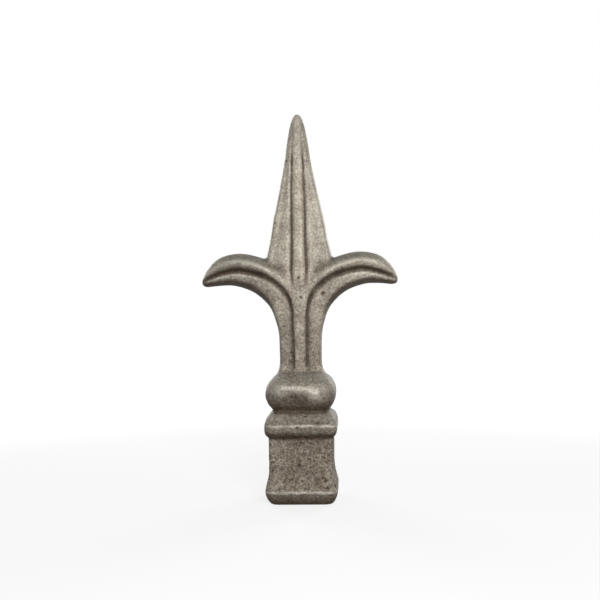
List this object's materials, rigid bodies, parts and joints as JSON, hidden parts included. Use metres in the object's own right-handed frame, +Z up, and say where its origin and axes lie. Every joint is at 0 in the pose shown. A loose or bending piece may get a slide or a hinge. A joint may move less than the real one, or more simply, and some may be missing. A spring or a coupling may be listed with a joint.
{
  "type": "railing spear finial",
  "caption": "Cast iron spear finial with curled side leaves, cushion bulb and square socket base that caps a square railing picket.",
  "frame": {"origin": "centre of the foot, on the plane that the base stands on", "axes": "+Z up along the spear, X across the two leaves, -Y out of the front face"},
  "size_m": [0.0794, 0.0288, 0.1556],
  "materials": {
    "cast_iron": "bare sand-cast iron, fine grain, lightly burnished on the ridges"
  },
  "bodies": {
    "root": {"finial_casting": "cast_iron"}
  },
  "joints": []
}
